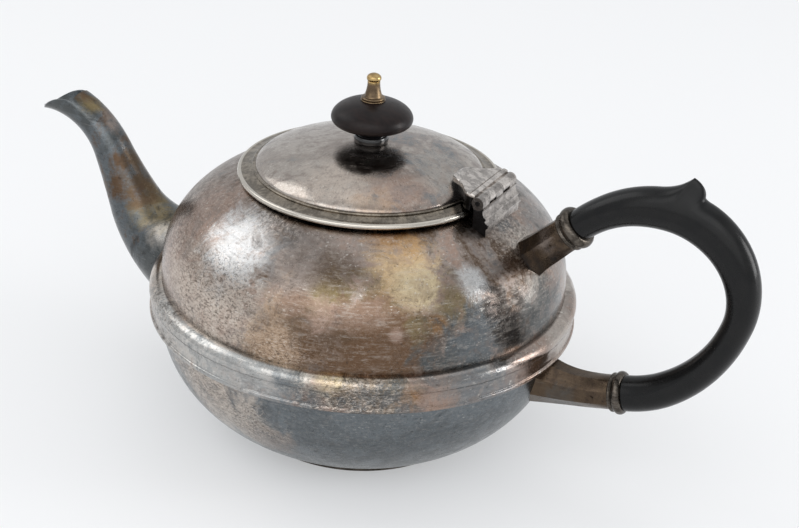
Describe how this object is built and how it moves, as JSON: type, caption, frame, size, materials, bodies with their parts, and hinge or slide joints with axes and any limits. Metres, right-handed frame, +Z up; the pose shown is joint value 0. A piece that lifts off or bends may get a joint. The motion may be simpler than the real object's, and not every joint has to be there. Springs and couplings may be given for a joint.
{
  "type": "teapot",
  "caption": "Round silver-plated teapot with a girdled body, swan-neck spout, looped dark wooden handle and a domed hinged lid with a wooden knob.",
  "frame": {"origin": "centre of the foot ring, on the surface the pot rests on", "axes": "+X towards the handle, -X towards the spout, +Z up"},
  "size_m": [0.2908, 0.156, 0.1359],
  "materials": {
    "tarnished_silver_plate": "worn, tarnished silver plate with fine scratches",
    "dark_silver_plate": "dark, blue-grey tarnished silver plate",
    "ebonised_wood": "ebonised hardwood, satin polish",
    "brass": "worn, turned brass"
  },
  "bodies": {
    "pot": {"lower_bowl": "dark_silver_plate", "foot_ring": "dark_silver_plate", "upper_body": "tarnished_silver_plate", "girdle_band": "tarnished_silver_plate", "mouth_collar": "tarnished_silver_plate", "spout": "dark_silver_plate", "upper_socket": "tarnished_silver_plate", "lower_socket": "tarnished_silver_plate", "upper_ferrule": "dark_silver_plate", "lower_ferrule": "dark_silver_plate", "handle": "ebonised_wood", "upper_handle_pin": "tarnished_silver_plate", "lower_handle_pin": "tarnished_silver_plate", "hinge_bracket": "tarnished_silver_plate", "hinge_pin": "tarnished_silver_plate"},
    "lid": {"hinge_leaf": "tarnished_silver_plate", "lid_dome": "tarnished_silver_plate", "lid_rim": "tarnished_silver_plate", "lid_bezel": "tarnished_silver_plate", "knob_spool": "ebonised_wood", "knob_button": "ebonised_wood", "knob_finial": "brass", "knob_washer": "brass", "knob_nut": "brass"}
  },
  "joints": [
    {"name": "lid_hinge", "type": "hinge", "parent": "pot", "child": "lid", "pos_m": [0.0486, 0, 0.10398], "axis": [0, 1, 0], "range_deg": [0, 100]}
  ]
}
